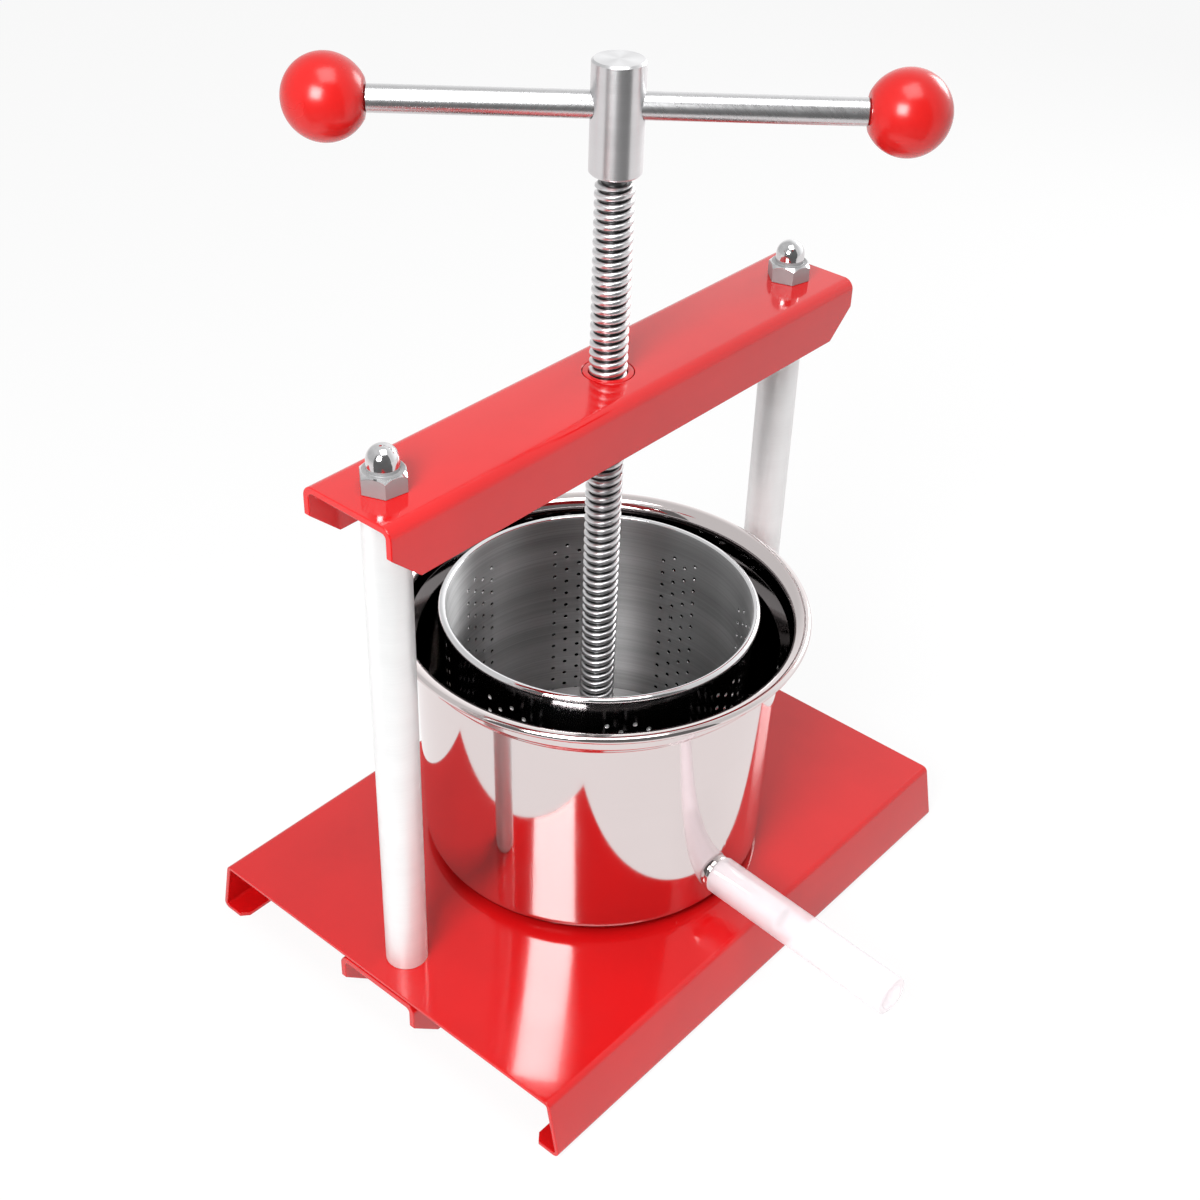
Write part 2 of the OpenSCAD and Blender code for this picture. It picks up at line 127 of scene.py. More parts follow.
class PressSizes(bpy.types.PropertyGroup):
    """Sizes of the sheet metal, the turned parts and the fine detail"""

    base_sheet: length("Base sheet", "Thickness of the base's sheet", 2)
    base_bend: length("Base bend", "Middle radius of the base's bends", 2.2)
    deck_width: length("Deck width", "Width of the deck between its top bends", 205.5)
    lip_width: length("Foot lip", "Width of each foot lip", 15)
    beam_sheet: length("Beam sheet", "Thickness of the beams' sheet", 3)
    beam_bend: length("Beam bend", "Middle radius of the beams' bends", 3.5)
    beam_cut_length: length("Beam cut length", "Length of the corner cut off each flange end", 14.5)
    beam_cut_height: length("Beam cut height", "Height of the corner cut off each flange end", 13)
    paint_edge: length("Paint edge", "Rounding of the painted sheet edges", 0.45)
    column_wall: length("Column wall", "Wall of the column tubes", 2.2)
    nut_flats: length("Nut flats", "Width across the flats of the cap nuts", 17)
    nut_height: length("Nut height", "Height of a cap nut's hexagon", 8)
    nut_chamfer: length("Nut chamfer", "Radius at which a cap nut's chamfer starts", 8.2)
    nut_dome: length("Nut dome", "Diameter of a cap nut's dome", 12.8)
    nut_bore: length("Nut bore", "Bore of a cap nut", 10)
    bush: length("Bush", "Outer diameter of the screw bush", 21.5)
    bush_gap: length("Bush gap", "Dark gap round the bush in the beam", 0.25)
    thread_pitch: length("Thread pitch", "Pitch of the screw's thread", 4)
    thread_depth: length("Thread depth", "Depth of the screw's thread", 2.1)
    neck: length("Neck", "Diameter of the screw's neck under the hub", 10.6)
    neck_height: length("Neck height", "Height of the neck under the hub", 3.6)
    bar: length("Bar", "Diameter of the tommy bar", 10.6)
    bar_length: length("Bar length", "Length of the bar between the knobs", 188.5)
    knob: length("Knob", "Diameter of the ball knobs", 33.3)
    knob_flat: length("Knob flat", "Distance from a ball's centre to its flat", 15)
    basket_sheet: length("Basket sheet", "Thickness of the basket's sheet", 1)
    basket_rim: length("Basket rim", "Diameter of the basket's rolled rim", 3.6)
    basket_hole: length("Basket hole", "Diameter of the basket's holes", 2.1)
    pot_sheet: length("Pot sheet", "Thickness of the pot's sheet", 1)
    pot_rim: length("Pot rim", "Diameter of the roll along the pot's edge", 3.4)
    pot_flare: length("Pot flare", "Middle radius of the bend that turns the pot's collar level at the rim", 6.5)
    pot_collar: length("Pot collar", "Height of the pot's upright collar under that bend", 4.5)
    pot_bend: length("Pot bend", "Middle radius of the two bends of the step between wall and collar", 1.4)
    spout: length("Spout", "Outer diameter of the spout", 12.5)
    spout_wall: length("Spout wall", "Wall of the spout", 1.5)
    spout_ring: length("Spout ring", "Diameter of the ring round the spout", 16.6)
    hose: length("Hose", "Outer diameter of the hose", 17.7)
    hose_bore: length("Hose bore", "Bore of the hose beyond the spout", 11.5)
    hose_length: length("Hose length", "Length of the hose", 100)


class PressColours(bpy.types.PropertyGroup):
    """Colours of the finishes"""

    paint: colour("Paint", "Gloss paint of base and beams", (0.56, 0.005, 0.006))
    knob: colour("Knob", "Gloss plastic of the ball knobs", (0.52, 0.008, 0.007))
    steel: colour("Steel", "Turned steel of screw, hub and bar", (0.80, 0.80, 0.81))
    # The pot steel's pink tint is a painted reflection of the red press round it.
    mirror: colour("Polished steel", "Mirror polished steel of the pot", (0.74, 0.68, 0.675))
    brushed: colour("Brushed steel", "Brushed steel of basket and plate", (0.80, 0.80, 0.805))
    satin: colour("Satin aluminium", "Satin aluminium of the columns", (0.87, 0.88, 0.88))
    brass: colour("Brass", "Brass of the thrust disc", (0.70, 0.50, 0.20))
    hose: colour("Hose", "Milky plastic of the hose", (0.95, 0.88, 0.91))
    floor: colour("Floor", "Floor and backdrop", (0.86, 0.86, 0.86))


def sizes():
    """The scene's sizes, read in millimetres."""
    group = bpy.context.scene.press_sizes
    return {name: getattr(group, name) / MM for name in PressSizes.__annotations__}


def colours():
    """The scene's colours, with their alpha."""
    group = bpy.context.scene.press_colours
    return {name: (*getattr(group, name), 1.0) for name in PressColours.__annotations__}


# Surfaces worked out as whole arrays. A solid here is its points and its faces.


def arc(centre, radius, start, end, step=6.0):
    """Points on a circle: the centre plus the radius times (cosine, sine) of evenly spaced angles, in degrees."""
    count = max(2, math.ceil(abs(end - start) / step) + 1)
    a = np.radians(np.linspace(start, end, count))
    return np.stack([centre[0] + radius * np.cos(a), centre[1] + radius * np.sin(a)], 1)


def cells(rows, columns, wrap_rows=False, wrap_columns=False):
    """Corner numbers of each cell of a grid of points numbered row by row, in grid order."""
    r = np.arange(rows if wrap_rows else rows - 1)[:, None]
    c = np.arange(columns if wrap_columns else columns - 1)[None, :]
    below, right = (r + 1) % rows, (c + 1) % columns
    corners = [r * columns + c, r * columns + right, below * columns + right, below * columns + c]
    return np.stack(np.broadcast_arrays(*corners), -1).reshape(-1, 4)


def turned(outline, steps, closed=False, first=0.0):
    """Surface of revolution: each outline point (r, z) goes round as (r cos t, r sin t, z), for that many even steps
    of t from the first angle."""
    t = first + np.linspace(0, 2 * math.pi, steps, endpoint=False)
    r, z = outline[:, 0][:, None], outline[:, 1][:, None]
    points = np.stack([r * np.cos(t), r * np.sin(t), z + 0 * t], -1).reshape(-1, 3)
    return points, cells(len(outline), steps, closed, True)


def bent_sheet(corners, radius, thickness, step=9.0):
    """Both faces of a bent sheet's section. Straight runs join the corners of its middle line, each corner is an
    arc of the given middle radius, and the faces lie half a thickness to the left and right of that line."""
    corners = np.array(corners, float)
    line, normal = [], []
    for i, p in enumerate(corners):
        ahead = corners[min(i + 1, len(corners) - 1)] - corners[min(i, len(corners) - 2)]
        back = p - corners[max(i - 1, 0)] if i else ahead
        a, b = back / np.linalg.norm(back), ahead / np.linalg.norm(ahead)
        turn = math.atan2(a[0] * b[1] - a[1] * b[0], a @ b)
        left = np.array([-a[1], a[0]])
        if abs(turn) < 1e-6:
            line.append(p[None])
            normal.append(left[None])
            continue
        side = math.copysign(1, turn)
        start = p - a * radius * math.tan(abs(turn) / 2)
        centre = start + left * radius * side
        angles = np.linspace(0, turn, max(3, math.ceil(math.degrees(abs(turn)) / step) + 1))
        c, s = np.cos(angles)[:, None], np.sin(angles)[:, None]
        n = left * c + np.array([-left[1], left[0]]) * s
        line.append(centre - n * radius * side)
        normal.append(n)
    line, normal = np.concatenate(line), np.concatenate(normal)
    return line + normal * thickness / 2, line - normal * thickness / 2


def pressed(faces, end, inset):
    """A sheet section (y, z) carried along X. It ends at plus and minus end(y, z), which may differ from point to
    point, and has two more rings of points at the given inset from its middle part's ends."""
    left, right = faces
    loop = np.concatenate([left, right[::-1]])
    n = len(loop)
    stop = end(loop[:, 0], loop[:, 1])
    x = np.stack([-stop, np.full(n, -inset), np.full(n, inset), stop], 1)
    points = np.stack([x, np.broadcast_to(loop[:, :1], x.shape), np.broadcast_to(loop[:, 1:], x.shape)], -1)
    i = np.arange(len(left) - 1)
    caps = [np.stack([i, i + 1, n - 2 - i, n - 1 - i], 1) * 4 + column for column in (0, 3)]
    return points.reshape(-1, 3), np.concatenate([cells(n, 4, True, False), *caps])


def spun(bends, thickness, step=4.0):
    """Closed outline of a vessel spun from one sheet: its floor, then bends given as (centre, middle radius, start,
    end), with straight sheet between them. The two faces lie half a thickness from the middle line."""
    sides = []
    for off in (thickness / 2, -thickness / 2):
        runs = [arc(c, r + (off if end < start else -off), start, end, step) for c, r, start, end in bends]
        sides.append(np.concatenate(runs))
    return np.concatenate([[[0, thickness]], sides[0], sides[1][::-1], [[0, 0]]])


def moved(solid, x, y, z):
    """The solid, moved."""
    return solid[0] + [x, y, z], solid[1]


def along(solid, angle, height):
    """The solid, turned so that its Z runs level in the given direction, in degrees from X, at a height above zero."""
    a = math.radians(angle)
    x, y, z = solid[0].T
    return np.stack([z * math.cos(a) - y * math.sin(a), z * math.sin(a) + y * math.cos(a), height - x], 1), solid[1]


def threaded(outline, pitch, depth, low, high, steps=64):
    """Screw surface. On the helix rows z = s + pitch t / turn, the radius is the outline's own radius at z, less the
    thread's depth times (1 - root(1 - k k)), where k grows from the crest's edge to the groove, so the ridges are
    broad and rounded and the grooves narrow. The rows lie at the distances d from the crest's middle, in quarters of
    the pitch, and the same behind it. Rows outside low and high are held on those heights."""
    d = np.array([0.0, 0.3, 0.7, 1.0, 1.2, 1.34, 1.43, 1.48, 1.5, 1.75]) / 4
    phase = np.concatenate([d, 1 - d[:0:-1]]) * pitch
    turns = math.ceil((high - low) / pitch) + 2
    s = (low - pitch + pitch * np.arange(turns)[:, None] + phase[None, :]).reshape(-1, 1)
    t = np.linspace(0, 2 * math.pi, steps + 1)[None, :]
    free = s + pitch * t / (2 * math.pi)
    z = np.clip(free, low, high)
    from_crest = np.abs((z - low + pitch - pitch * t / (2 * math.pi) + pitch / 2) % pitch - pitch / 2) * 4 / pitch
    k = np.clip((from_crest - 0.3) / 1.2, 0, 1)
    cut = outline[:, 0].max() - depth * (1 - np.sqrt(1 - k * k))
    radius = np.minimum(np.interp(z, outline[:, 1], outline[:, 0]), cut)
    return np.stack([radius * np.cos(t), radius * np.sin(t), z], -1)


# From arrays to pieces


def mesh_of(name, points, faces):
    """A mesh from arrays of points, in millimetres, and faces."""
    mesh = bpy.data.meshes.new(name)
    mesh.from_pydata((np.asarray(points) * MM).tolist(), [], np.asarray(faces).tolist())
    return mesh


def cleaned(mesh):
    """The same mesh with doubles merged, slivers dissolved and faces turned outward."""
    work = bmesh.new()
    work.from_mesh(mesh)
    bmesh.ops.remove_doubles(work, verts=work.verts, dist=2e-6)
    bmesh.ops.dissolve_degenerate(work, edges=work.edges, dist=1e-6)
    bmesh.ops.recalc_face_normals(work, faces=work.faces)
    work.to_mesh(mesh)
    work.free()
    return mesh


def added(name, data):
    """A new object in the scene."""
    made = bpy.data.objects.new(name, data)
    bpy.context.scene.collection.objects.link(made)
    return made


def finish_piece(name, mesh, body, finish, part, sharp=40, edge=0.0):
    """A piece in place: its mesh cleaned, smooth up to the sharp angle and its edges rounded if asked, with its
    finish and its body, and the CAD node that it stands for hidden."""
    cleaned(mesh).shade_smooth()
    mesh.set_sharp_from_angle(angle=math.radians(sharp))
    mesh.materials.clear()
    mesh.materials.append(finishes()[finish])
    piece = added(name, mesh)
    if edge:
        bevel = piece.modifiers.new("Rounded edges", "BEVEL")
        bevel.width = edge * MM
        bevel.segments = 2
        bevel.limit_method = "ANGLE"
        bevel.angle_limit = math.radians(sharp)
        bevel.harden_normals = True
    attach(piece, body)
    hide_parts(part)


def make_piece(name, solid, *facts, **more):
    """One piece from a solid. What follows it is what finish_piece takes."""
    finish_piece(name, mesh_of(name, *solid), *facts, **more)


def copy_of_node(name, body, finish, part, edge=0.0, sharp=30):
    """A smooth copy of a CAD node, for a part whose exact cuts are kept."""
    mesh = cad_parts[part].data.copy()
    if mesh.has_custom_normals:
        mesh.normals_split_custom_set([(0, 0, 0)] * len(mesh.loops))
    work = bmesh.new()
    work.from_mesh(mesh)
    bmesh.ops.remove_doubles(work, verts=work.verts, dist=5e-6)
    bmesh.ops.dissolve_limit(work, angle_limit=math.radians(0.5), verts=work.verts, edges=work.edges)
    work.to_mesh(mesh)
    work.free()
    finish_piece(name, mesh, body, finish, part, sharp, edge)


def cut_round(body, hole):
    """The mesh of the first solid with the second one cut out of it."""
    solid, tool = (added("cutting", cleaned(mesh_of("cutting", *solid))) for solid in (body, hole))
    cut = solid.modifiers.new("Cut", "BOOLEAN")
    cut.operation = "DIFFERENCE"
    cut.solver = "EXACT"
    cut.object = tool
    bpy.context.view_layer.update()
    result = bpy.data.meshes.new_from_object(solid.evaluated_get(bpy.context.evaluated_depsgraph_get()))
    bpy.data.objects.remove(solid)
    bpy.data.objects.remove(tool)
    return result


def cylinder(radius, low, high, steps=96):
    """A plain closed cylinder, as turned gives it."""
    return turned(np.array([[0, low], [radius, low], [radius, high], [0, high]], float), steps)


# Finishes


def group_of(name, values, outputs):
    """A new shader node group, whose inputs are a vector and the named values. Gives its tree, its inputs' sockets
    and the sockets that its outputs take."""
    tree = bpy.data.node_groups.new(name, "ShaderNodeTree")
    tree.interface.new_socket("Vector", in_out="INPUT", socket_type="NodeSocketVector")
    for side, labels in (("INPUT", values), ("OUTPUT", outputs)):
        for label in labels:
            tree.interface.new_socket(label, in_out=side, socket_type="NodeSocketFloat")
    source, result = tree.nodes.new("NodeGroupInput"), tree.nodes.new("NodeGroupOutput")
    return tree, source.outputs, result.inputs


def node(tree, kind, settings=None, **links):
    """A node of that kind. Settings are its own values, and links give each input a value or a socket."""
    made = tree.nodes.new("ShaderNode" + kind)
    for key, value in (settings or {}).items():
        setattr(made, key, value)
    for key, value in links.items():
        number = key[0] == "i" and key[1:].isdigit()
        socket = made.inputs[int(key[1:]) if number else key.replace("_", " ")]
        if isinstance(value, bpy.types.NodeSocket):
            tree.links.new(value, socket)
        else:
            socket.default_value = value
    return made


def math_node(tree, operation, a, b=0.0, c=0.0, clamp=False):
    """The result of one sum on values or sockets."""
    return node(tree, "Math", {"operation": operation, "use_clamp": clamp}, i0=a, i1=b, i2=c).outputs[0]


def noise(tree, vector, size, detail, rough=0.5):
    """Noise on a vector."""
    return node(tree, "TexNoise", Vector=vector, Scale=size, Detail=detail, Roughness=rough).outputs["Fac"]


def eased(tree, value, low, high):
    """Nought at low and one at high, with soft ends."""
    settings = {"interpolation_type": "SMOOTHSTEP"}
    return node(tree, "MapRange", settings, Value=value, From_Min=low, From_Max=high).outputs["Result"]


def between(tree, factor, low, high):
    """Low plus the factor times the distance to high."""
    return math_node(tree, "MULTIPLY_ADD", factor, high - low, low)


def shade_between(tree, factor, first, second):
    """A colour between two colours or sockets."""
    return node(tree, "Mix", {"data_type": "RGBA"}, i0=factor, i6=first, i7=second).outputs[2]


def darker(rgba, share):
    """The colour with its brightness scaled."""
    return (*(v * share for v in rgba[:3]), rgba[3])


def parts_of(tree, vector):
    """A vector's x, y and z, and its distance from the Z axis."""
    x, y, z = node(tree, "SeparateXYZ", i0=vector).outputs
    square = math_node(tree, "ADD", math_node(tree, "MULTIPLY", x, x), math_node(tree, "MULTIPLY", y, y))
    return x, y, z, math_node(tree, "SQRT", square)


def ring_marks_group():
    """Marks that run round the Z axis, as on turned and spun metal: noise on (distance, 0, height), stretched
    along the height, plus a slow drift round the piece that breaks the rings up."""
    tree, source, result = group_of("Ring marks", ["Lines per metre", "Drift"], ["Marks", "Bands"])
    x, y, z, distance = parts_of(tree, source["Vector"])
    along_x, along_y = (math_node(tree, "MULTIPLY", v, source["Drift"]) for v in (x, y))
    lines = math_node(tree, "MULTIPLY", math_node(tree, "ADD", z, distance), source["Lines per metre"])
    place = node(tree, "CombineXYZ", X=along_x, Y=along_y, Z=lines).outputs[0]
    wide_place = node(tree, "VectorMath", {"operation": "MULTIPLY"}, i0=place, i1=(1.0, 1.0, 0.06)).outputs[0]
    tree.links.new(noise(tree, place, 1.0, 3.0, 0.6), result["Marks"])
    tree.links.new(noise(tree, wide_place, 1.0, 2.0), result["Bands"])
    return tree


def handling_group():
    """Traces of handling: soft smudges from wide noise, and thin scratches where stretched noise crosses a level."""
    tree, source, result = group_of("Handling", ["Smudge size", "Scratch size"], ["Smudges", "Scratches"])
    vector = source["Vector"]
    smudge = noise(tree, vector, source["Smudge size"], 4.0, 0.55)
    turned_place = node(tree, "Mapping", Vector=vector, Rotation=(0.5, 0.8, 0.3), Scale=(1.0, 0.015, 1.0)).outputs[0]
    thin = noise(tree, turned_place, source["Scratch size"], 0.0)
    line = math_node(tree, "ABSOLUTE", math_node(tree, "SUBTRACT", thin, 0.5))
    tree.links.new(eased(tree, smudge, 0.35, 0.75), result["Smudges"])
    tree.links.new(math_node(tree, "LESS_THAN", line, 0.003), result["Scratches"])
    return tree


def orange_peel_group():
    """The soft unevenness of sprayed paint and moulded plastic: two sizes of noise added together."""
    tree, source, result = group_of("Orange peel", ["Size"], ["Height"])
    wide = noise(tree, source["Vector"], source["Size"], 1.0)
    fine = noise(tree, source["Vector"], math_node(tree, "MULTIPLY", source["Size"], 3.7), 1.0)
    tree.links.new(math_node(tree, "MULTIPLY_ADD", fine, 0.25, wide), result["Height"])
    return tree


def placed(tree, name, maker, vector, **values):
    """The outputs of a shared group placed in a material with its own values. Its first use makes the group."""
    made = tree.nodes.new("ShaderNodeGroup")
    made.node_tree = bpy.data.node_groups.get(name) or maker()
    tree.links.new(vector, made.inputs["Vector"])
    for key, value in values.items():
        made.inputs[key.replace("_", " ")].default_value = value
    return made.outputs


def emptied(owner, output):
    """The shader tree of a material or world, with nothing in it but the output, and the output's socket."""
    owner.use_nodes = True
    owner.node_tree.nodes.clear()
    return owner.node_tree, owner.node_tree.nodes.new(output).inputs["Surface"]


def blank_material(name, **values):
    """A material with one Principled shader whose sockets take the given plain values, and an Object vector."""
    material = bpy.data.materials.new(name)
    tree, surface = emptied(material, "ShaderNodeOutputMaterial")
    shader = node(tree, "BsdfPrincipled", **values)
    tree.links.new(shader.outputs[0], surface)
    return material, tree, shader.inputs, node(tree, "TexCoord").outputs["Object"]


def centred(tree, vector, place, turn=(0, 0, 0)):
    """The Object vector moved to a piece's own axis, in millimetres and degrees, then turned. A place off the middle
    stands for a pair of pieces, one on each side, so the vector is mirrored first."""
    if place[0]:
        x, y, z = node(tree, "SeparateXYZ", i0=vector).outputs
        vector = node(tree, "CombineXYZ", X=math_node(tree, "ABSOLUTE", x), Y=y, Z=z).outputs[0]
    middle = tuple(v * MM for v in place)
    own = node(tree, "VectorMath", {"operation": "SUBTRACT"}, i0=vector, i1=middle).outputs[0]
    if not any(turn):
        return own
    return node(tree, "Mapping", Vector=own, Rotation=tuple(math.radians(v) for v in turn)).outputs[0]


def dress(tree, sockets, tone, rough, height, strength, distance):
    """Joins a colour, a roughness and a height to a shader. The height's distance is in millimetres."""
    tree.links.new(tone, sockets["Base Color"])
    tree.links.new(rough, sockets["Roughness"])
    relief = node(tree, "Bump", Height=height, Strength=strength, Distance=distance * MM).outputs[0]
    tree.links.new(relief, sockets["Normal"])


def gloss_material(name, base, peel_size, peel_depth, coat, rough):
    """Sprayed paint or moulded plastic: a clear glossy skin over colour, with orange peel and faint smudges."""
    material, tree, sockets, vector = blank_material(name, IOR=1.5, Coat_Weight=coat, Coat_Roughness=0.03)
    smudges, _ = placed(tree, "Handling", handling_group, vector, Smudge_size=22.0, Scratch_size=160.0)
    tone = shade_between(tree, smudges, base, darker(base, 0.93))
    peel = placed(tree, "Orange peel", orange_peel_group, vector, Size=peel_size)[0]
    dress(tree, sockets, tone, between(tree, smudges, *rough), peel, 0.25, peel_depth)
    return material


def metal_material(
    name, base, lines, drift, rough, depth, anisotropy=0.0, marks_and_painted_shade=0.85, metallic=1.0, place=(0, 0, 0), turn=(0, 0, 0),
    polished_beyond=0.0, groove_shade_within=0.0, painted_shade_inside=(),
):
    """Turned, spun or brushed metal: fine rings round the piece's axis in colour, roughness and height. Beyond one
    given distance from the axis the rings fade out and the metal is polished and bright. Within another, in the
    thread's grooves, the colour is darkened as painted shade. Inside a vessel's wall, whose middle runs along the
    given lines of distance against height, the metal is darkened as painted shade."""
    material, tree, sockets, vector = blank_material(name, Metallic=metallic, Anisotropic=anisotropy)
    own = centred(tree, vector, place, turn)
    marks, bands = placed(tree, "Ring marks", ring_marks_group, own, Lines_per_metre=lines, Drift=drift)
    smudges, scratches = placed(tree, "Handling", handling_group, vector, Smudge_size=35.0, Scratch_size=240.0)
    shade = math_node(tree, "MULTIPLY_ADD", bands, 0.6, math_node(tree, "MULTIPLY", marks, 0.4))
    # The marks darken the colour down to the given share; on the basket that share is low, which also paints shade.
    tone = shade_between(tree, shade, darker(base, marks_and_painted_shade), base)
    rougher = math_node(tree, "MULTIPLY_ADD", scratches, (rough[1] - rough[0]) / 2, between(tree, marks, *rough))
    rougher = math_node(tree, "MULTIPLY_ADD", smudges, 0.03, rougher)
    strength = 0.5
    _, _, z, distance = parts_of(tree, own)
    # The thread's grooves, nearer the axis than the crests, are darkened as painted shade.
    if groove_shade_within:
        groove_shade = eased(tree, distance, groove_shade_within * MM, (groove_shade_within - GROOVE_SHADE_EDGE) * MM)
        tone = shade_between(tree, groove_shade, tone, darker(base, PAINTED_GROOVE_SHADE))
    if polished_beyond:
        brushed = math_node(tree, "LESS_THAN", distance, polished_beyond * MM)
        tone = shade_between(tree, brushed, POLISHED, tone)
        strength = math_node(tree, "MULTIPLY", brushed, strength)
        left_over = math_node(tree, "SUBTRACT", rougher, POLISHED_ROUGHNESS)
        rougher = math_node(tree, "MULTIPLY_ADD", left_over, brushed, POLISHED_ROUGHNESS)
    # Inside the vessel's wall the colour is darkened as painted shade.
    if painted_shade_inside:
        wall, step, collar = (math_node(tree, "MULTIPLY_ADD", z, slope, start * MM) for slope, start in painted_shade_inside)
        middle = math_node(tree, "MINIMUM", math_node(tree, "MAXIMUM", wall, step), collar)
        tone = shade_between(tree, math_node(tree, "LESS_THAN", distance, middle), tone, darker(base, PAINTED_POT_SHADE))
    dress(tree, sockets, tone, rougher, marks, strength, depth)
    if anisotropy:
        sockets["Anisotropic Rotation"].default_value = 0.25
        tangent = node(tree, "Tangent", {"direction_type": "RADIAL", "axis": "Z"})
        tree.links.new(tangent.outputs[0], sockets["Tangent"])
    return material


def chrome_material(base):
    """Cap nut chrome: dome and chamfer are polished, and the flats of the hexagon, which lie under the chamfer's
    cone, keep the dull skin of the bar that the nut is cut from. The flats' colour is also darkened, a painted dark
    reflection of the room behind the camera."""
    material, tree, sockets, vector = blank_material("Nut chrome")
    own = centred(tree, vector, (COLUMN_X, 0, 0))
    _, _, z, distance = parts_of(tree, own)
    under = sizes()["nut_chamfer"] + sizes()["nut_height"] + BEAM_HIGH[2]
    flats = eased(tree, math_node(tree, "ADD", z, distance), (under - 0.05) * MM, (under - 0.25) * MM)
    smudges, _ = placed(tree, "Handling", handling_group, own, Smudge_size=140.0, Scratch_size=900.0)
    # Smudges darken the colour a little, and the flats darken it more as a painted dark reflection.
    smudges_and_flat_shade = math_node(tree, "MULTIPLY_ADD", smudges, 0.5, flats, clamp=True)
    tree.links.new(between(tree, flats, 1.0, 0.35), sockets["Metallic"])
    rough = math_node(tree, "MULTIPLY_ADD", smudges, 0.08, between(tree, flats, 0.06, 0.42))
    dress(tree, sockets, shade_between(tree, smudges_and_flat_shade, base, darker(base, 0.4)), rough, smudges, 0.2, 0.03)
    return material


def hose_material(base):
    """Milky soft plastic: each face of the wall scatters most of the light and lets the rest straight through, so
    the spout shows inside the hose."""
    material, tree, sockets, vector = blank_material("Milky hose plastic", IOR=1.4, Alpha=0.44)
    smudges, _ = placed(tree, "Handling", handling_group, vector, Smudge_size=60.0, Scratch_size=200.0)
    tone = shade_between(tree, smudges, base, darker(base, 0.96))
    peel = placed(tree, "Orange peel", orange_peel_group, vector, Size=180.0)[0]
    dress(tree, sockets, tone, between(tree, smudges, 0.32, 0.45), peel, 0.2, 0.03)
    return material


FINISHES = {}


def finishes():
    """The press's materials by name, made once."""
    if FINISHES:
        return FINISHES
    c, s = colours(), sizes()
    steel = c["steel"]
    FINISHES.update(
        red_paint=gloss_material("Red gloss paint", c["paint"], 240.0, 0.02, 0.2, (0.10, 0.16)),
        red_plastic=gloss_material("Red ball knob plastic", c["knob"], 120.0, 0.01, 0.0, (0.22, 0.30)),
        steel=metal_material("Rolled steel", steel, 2600.0, 40.0, (0.28, 0.40), 0.006),
        turned_steel=metal_material("Turned steel", steel, 2600.0, 20.0, (0.26, 0.38), 0.006, 0.7, marks_and_painted_shade=0.8),
        # The screw's thread grooves are darkened as painted shade.
        thread_steel=metal_material(
            "Thread steel with painted groove shade", steel, 2600.0, 40.0, (0.24, 0.36), 0.006, groove_shade_within=SCREW_HIGH[0] - 0.9
        ),
        bar_steel=metal_material(
            "Drawn bar steel", darker(steel, 0.85), 500.0, 90.0, (0.22, 0.32), 0.003, place=(0, 0, BAR_Z),
            turn=(0, 0, -BAR_ANGLE),
        ),
        bright_chrome=chrome_material(steel),
        # The pot's inside is darkened as painted shade.
        polished_steel=metal_material(
            "Polished pot steel", c["mirror"], 900.0, 5.0, (0.035, 0.075), 0.0015, marks_and_painted_shade=0.95, painted_shade_inside=pot_lines()
        ),
        # The low share gives brush streaks and darkens the whole brushed zone, painted shade of the dark gap round the
        # basket.
        stainless=metal_material(
            "Brushed basket steel", c["brushed"], 1300.0, 7.0, (0.44, 0.58), 0.03, 0.95, marks_and_painted_shade=0.12,
            polished_beyond=BASKET_HIGH[0] - s["basket_rim"] + s["basket_sheet"] / 2,
        ),
        satin_aluminium=metal_material(
            "Satin aluminium", c["satin"], 1600.0, 30.0, (0.40, 0.50), 0.004, metallic=0.5, place=(COLUMN_X, 0, 0)
        ),
        brass=metal_material("Thrust disc brass", c["brass"], 1800.0, 20.0, (0.2, 0.35), 0.004),
        milky_hose=hose_material(c["hose"]),
    )
    return FINISHES


# Operators, one for each piece or group of like pieces


class FRUITPRESS_OT_base(bpy.types.Operator):
    """Make the painted base: a deck with splayed flanges and inward foot lips"""

    bl_idname = "fruitpress.base"
    bl_label = "Base"

    def execute(self, context):
        s = sizes()
        sheet, deck = s["base_sheet"], s["deck_width"] / 2
        low, foot, half = BASE_LOW[2] + sheet / 2, BASE_HIGH[1], BASE_HIGH[0]
        splay = (foot - deck) / -BASE_LOW[2]
        side = sheet / 2 * math.hypot(1, splay)
        top_y, low_y = deck + sheet / 2 * splay - side, deck - low * splay - side
        lip_y = foot - s["lip_width"]
        kink = lip_y + LIP_CUT
        right = [(top_y, -sheet / 2), (low_y, low), (kink, low), (lip_y, low)]
        corners = [(-y, z) for y, z in right[::-1]] + right
        section = bent_sheet(corners, s["base_bend"], sheet)

        def end(y, z):
            """The lip's corner is cut along a line that leaves the end where the lip is as wide as the kink."""
            on_lip = (z < BASE_LOW[2] + 1.6 * sheet) & (np.abs(y) < kink)
            return half - np.where(on_lip, (kink - np.abs(y)) * LIP_CUT_SLOPE, 0)

        solid = pressed(section, end, half - BASE_INSET)
        make_piece("press_base", solid, "frame", "red_paint", "base_plate", edge=s["paint_edge"])
        return {"FINISHED"}


